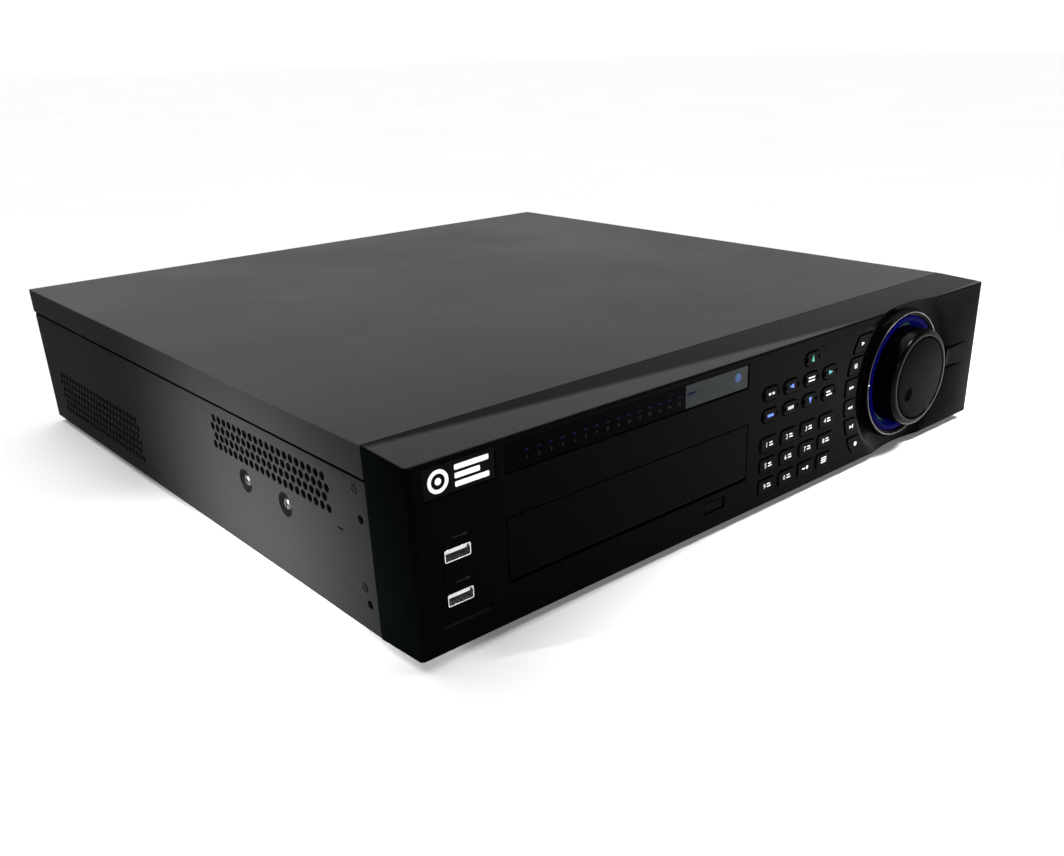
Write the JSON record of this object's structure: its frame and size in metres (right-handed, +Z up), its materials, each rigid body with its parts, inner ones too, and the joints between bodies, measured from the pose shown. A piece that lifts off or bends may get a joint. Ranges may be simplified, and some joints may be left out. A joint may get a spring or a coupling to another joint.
{
  "type": "digital video recorder",
  "caption": "Rack-width security video recorder with a drop-down disc flap, key field, lit jog and shuttle dial, vented steel case and rear socket panel.",
  "frame": {"origin": "under the middle of the outline, on the plane the feet stand on", "axes": "+X to the right seen from the front, +Y from the front to the back, +Z up"},
  "size_m": [0.44, 0.47, 0.0932],
  "materials": {
    "bezel_plastic": "black moulded plastic, satin",
    "badge_metal": null,
    "window_lens": "smoked clear plastic, polished",
    "receiver_lens": "dark red-black clear plastic, polished",
    "light_guide": "translucent light guide, lit blue",
    "plated_steel": "bright nickel plate",
    "key_plastic": "black moulded plastic, fine texture",
    "dial_plastic": "black moulded plastic, satin",
    "encoder_case": "dark grey moulded plastic",
    "circuit_board": "green solder resist",
    "charcoal_coat": "charcoal powder coat, fine satin texture",
    "foot_rubber": "matt black rubber",
    "screw_steel": "zinc-plated steel",
    "drive_black": "black plastic front over a steel shell",
    "zinc_steel": "zinc-coated sheet steel",
    "drive_casting": "cast aluminium body with a bright lid",
    "anodised": "clear anodised extrusion",
    "psu_case": "plain sheet case",
    "cable_sleeve": "black sleeving",
    "black_plastic": "black moulded plastic",
    "terminal_plastic": "green moulded plastic"
  },
  "bodies": {
    "case": {"bezel": "bezel_plastic", "badge_plate": "badge_metal", "led_window": "window_lens", "ir_window": "receiver_lens", "light_ring": "light_guide", "front_usb_ports": "plated_steel", "encoder_body": "encoder_case", "front_board": "circuit_board", "chassis_pan": "charcoal_coat", "left_side_panel": "charcoal_coat", "right_side_panel": "charcoal_coat", "top_cover": "charcoal_coat", "rubber_feet": "foot_rubber", "case_screws": "screw_steel", "disc_writer": "drive_black", "drive_cage": "zinc_steel", "hard_drives": "drive_casting", "main_board": "circuit_board", "heat_sink": "anodised", "power_supply": "psu_case", "wiring_loom": "cable_sleeve", "mains_inlet": "black_plastic", "fan_frames": "black_plastic", "video_sockets": "plated_steel", "rear_ports": "plated_steel", "terminal_block": "terminal_plastic"},
    "bay_door_body": {"bay_door": "bezel_plastic"},
    "eject_key_body": {"eject_key": "key_plastic"},
    "shuttle_ring_body": {"shuttle_ring": "dial_plastic"},
    "jog_dial_body": {"jog_dial": "dial_plastic"},
    "power_rocker_body": {"power_rocker": "black_plastic"},
    "fan_rotor_left_body": {"fan_rotor_left": "black_plastic"},
    "fan_rotor_right_body": {"fan_rotor_right": "black_plastic"},
    "control_key_1_body": {"control_key_1": "key_plastic"},
    "control_key_2_body": {"control_key_2": "key_plastic"},
    "control_key_3_body": {"control_key_3": "key_plastic"},
    "control_key_4_body": {"control_key_4": "key_plastic"},
    "control_key_5_body": {"control_key_5": "key_plastic"},
    "control_key_6_body": {"control_key_6": "key_plastic"},
    "control_key_7_body": {"control_key_7": "key_plastic"},
    "control_key_8_body": {"control_key_8": "key_plastic"},
    "control_key_9_body": {"control_key_9": "key_plastic"},
    "number_key_1_body": {"number_key_1": "key_plastic"},
    "number_key_2_body": {"number_key_2": "key_plastic"},
    "number_key_3_body": {"number_key_3": "key_plastic"},
    "number_key_4_body": {"number_key_4": "key_plastic"},
    "number_key_5_body": {"number_key_5": "key_plastic"},
    "number_key_6_body": {"number_key_6": "key_plastic"},
    "number_key_7_body": {"number_key_7": "key_plastic"},
    "number_key_8_body": {"number_key_8": "key_plastic"},
    "number_key_9_body": {"number_key_9": "key_plastic"},
    "number_key_10_body": {"number_key_10": "key_plastic"},
    "number_key_11_body": {"number_key_11": "key_plastic"},
    "number_key_12_body": {"number_key_12": "key_plastic"},
    "playback_key_1_body": {"playback_key_1": "key_plastic"},
    "playback_key_2_body": {"playback_key_2": "key_plastic"},
    "playback_key_3_body": {"playback_key_3": "key_plastic"},
    "playback_key_4_body": {"playback_key_4": "key_plastic"},
    "playback_key_5_body": {"playback_key_5": "key_plastic"},
    "playback_key_6_body": {"playback_key_6": "key_plastic"}
  },
  "joints": [
    {"name": "bay_door_hinge", "type": "hinge", "parent": "case", "child": "bay_door_body", "pos_m": [-0.0935, -0.2218, 0.0276], "axis": [1, 0, 0], "range_deg": [0, 90], "stiffness_Nm_per_rad": 0.03, "springref_deg": -34.38},
    {"name": "eject_key_slide", "type": "slide", "parent": "case", "child": "eject_key_body", "axis": [0, 1, 0], "range_m": [0, 0.0008], "stiffness_N_per_m": 400},
    {"name": "shuttle_hinge", "type": "hinge", "parent": "case", "child": "shuttle_ring_body", "pos_m": [0.135, -0.224, 0.0495], "axis": [0, 1, 0], "range_deg": [-75, 75], "stiffness_Nm_per_rad": 0.03},
    {"name": "jog_hinge", "type": "hinge", "parent": "case", "child": "jog_dial_body", "pos_m": [0.135, -0.224, 0.0495], "axis": [0, 1, 0], "continuous": true},
    {"name": "power_rocker_hinge", "type": "hinge", "parent": "case", "child": "power_rocker_body", "pos_m": [-0.16, 0.2225, 0.027], "axis": [1, 0, 0], "range_deg": [-24, 0]},
    {"name": "fan_left_spin", "type": "hinge", "parent": "case", "child": "fan_rotor_left_body", "pos_m": [-0.095, 0.215, 0.049], "axis": [0, 1, 0], "continuous": true},
    {"name": "fan_right_spin", "type": "hinge", "parent": "case", "child": "fan_rotor_right_body", "pos_m": [-0.03, 0.215, 0.049], "axis": [0, 1, 0], "continuous": true},
    {"name": "control_key_1_slide", "type": "slide", "parent": "case", "child": "control_key_1_body", "axis": [0, 1, 0], "range_m": [0, 0.0008], "stiffness_N_per_m": 300},
    {"name": "control_key_2_slide", "type": "slide", "parent": "case", "child": "control_key_2_body", "axis": [0, 1, 0], "range_m": [0, 0.0008], "stiffness_N_per_m": 300},
    {"name": "control_key_3_slide", "type": "slide", "parent": "case", "child": "control_key_3_body", "axis": [0, 1, 0], "range_m": [0, 0.0008], "stiffness_N_per_m": 300},
    {"name": "control_key_4_slide", "type": "slide", "parent": "case", "child": "control_key_4_body", "axis": [0, 1, 0], "range_m": [0, 0.0008], "stiffness_N_per_m": 300},
    {"name": "control_key_5_slide", "type": "slide", "parent": "case", "child": "control_key_5_body", "axis": [0, 1, 0], "range_m": [0, 0.0008], "stiffness_N_per_m": 300},
    {"name": "control_key_6_slide", "type": "slide", "parent": "case", "child": "control_key_6_body", "axis": [0, 1, 0], "range_m": [0, 0.0008], "stiffness_N_per_m": 300},
    {"name": "control_key_7_slide", "type": "slide", "parent": "case", "child": "control_key_7_body", "axis": [0, 1, 0], "range_m": [0, 0.0008], "stiffness_N_per_m": 300},
    {"name": "control_key_8_slide", "type": "slide", "parent": "case", "child": "control_key_8_body", "axis": [0, 1, 0], "range_m": [0, 0.0008], "stiffness_N_per_m": 300},
    {"name": "control_key_9_slide", "type": "slide", "parent": "case", "child": "control_key_9_body", "axis": [0, 1, 0], "range_m": [0, 0.0008], "stiffness_N_per_m": 300},
    {"name": "number_key_1_slide", "type": "slide", "parent": "case", "child": "number_key_1_body", "axis": [0, 1, 0], "range_m": [0, 0.0008], "stiffness_N_per_m": 300},
    {"name": "number_key_2_slide", "type": "slide", "parent": "case", "child": "number_key_2_body", "axis": [0, 1, 0], "range_m": [0, 0.0008], "stiffness_N_per_m": 300},
    {"name": "number_key_3_slide", "type": "slide", "parent": "case", "child": "number_key_3_body", "axis": [0, 1, 0], "range_m": [0, 0.0008], "stiffness_N_per_m": 300},
    {"name": "number_key_4_slide", "type": "slide", "parent": "case", "child": "number_key_4_body", "axis": [0, 1, 0], "range_m": [0, 0.0008], "stiffness_N_per_m": 300},
    {"name": "number_key_5_slide", "type": "slide", "parent": "case", "child": "number_key_5_body", "axis": [0, 1, 0], "range_m": [0, 0.0008], "stiffness_N_per_m": 300},
    {"name": "number_key_6_slide", "type": "slide", "parent": "case", "child": "number_key_6_body", "axis": [0, 1, 0], "range_m": [0, 0.0008], "stiffness_N_per_m": 300},
    {"name": "number_key_7_slide", "type": "slide", "parent": "case", "child": "number_key_7_body", "axis": [0, 1, 0], "range_m": [0, 0.0008], "stiffness_N_per_m": 300},
    {"name": "number_key_8_slide", "type": "slide", "parent": "case", "child": "number_key_8_body", "axis": [0, 1, 0], "range_m": [0, 0.0008], "stiffness_N_per_m": 300},
    {"name": "number_key_9_slide", "type": "slide", "parent": "case", "child": "number_key_9_body", "axis": [0, 1, 0], "range_m": [0, 0.0008], "stiffness_N_per_m": 300},
    {"name": "number_key_10_slide", "type": "slide", "parent": "case", "child": "number_key_10_body", "axis": [0, 1, 0], "range_m": [0, 0.0008], "stiffness_N_per_m": 300},
    {"name": "number_key_11_slide", "type": "slide", "parent": "case", "child": "number_key_11_body", "axis": [0, 1, 0], "range_m": [0, 0.0008], "stiffness_N_per_m": 300},
    {"name": "number_key_12_slide", "type": "slide", "parent": "case", "child": "number_key_12_body", "axis": [0, 1, 0], "range_m": [0, 0.0008], "stiffness_N_per_m": 300},
    {"name": "playback_key_1_slide", "type": "slide", "parent": "case", "child": "playback_key_1_body", "axis": [0, 1, 0], "range_m": [0, 0.0008], "stiffness_N_per_m": 300},
    {"name": "playback_key_2_slide", "type": "slide", "parent": "case", "child": "playback_key_2_body", "axis": [0, 1, 0], "range_m": [0, 0.0008], "stiffness_N_per_m": 300},
    {"name": "playback_key_3_slide", "type": "slide", "parent": "case", "child": "playback_key_3_body", "axis": [0, 1, 0], "range_m": [0, 0.0008], "stiffness_N_per_m": 300},
    {"name": "playback_key_4_slide", "type": "slide", "parent": "case", "child": "playback_key_4_body", "axis": [0, 1, 0], "range_m": [0, 0.0008], "stiffness_N_per_m": 300},
    {"name": "playback_key_5_slide", "type": "slide", "parent": "case", "child": "playback_key_5_body", "axis": [0, 1, 0], "range_m": [0, 0.0008], "stiffness_N_per_m": 300},
    {"name": "playback_key_6_slide", "type": "slide", "parent": "case", "child": "playback_key_6_body", "axis": [0, 1, 0], "range_m": [0, 0.0008], "stiffness_N_per_m": 300}
  ]
}
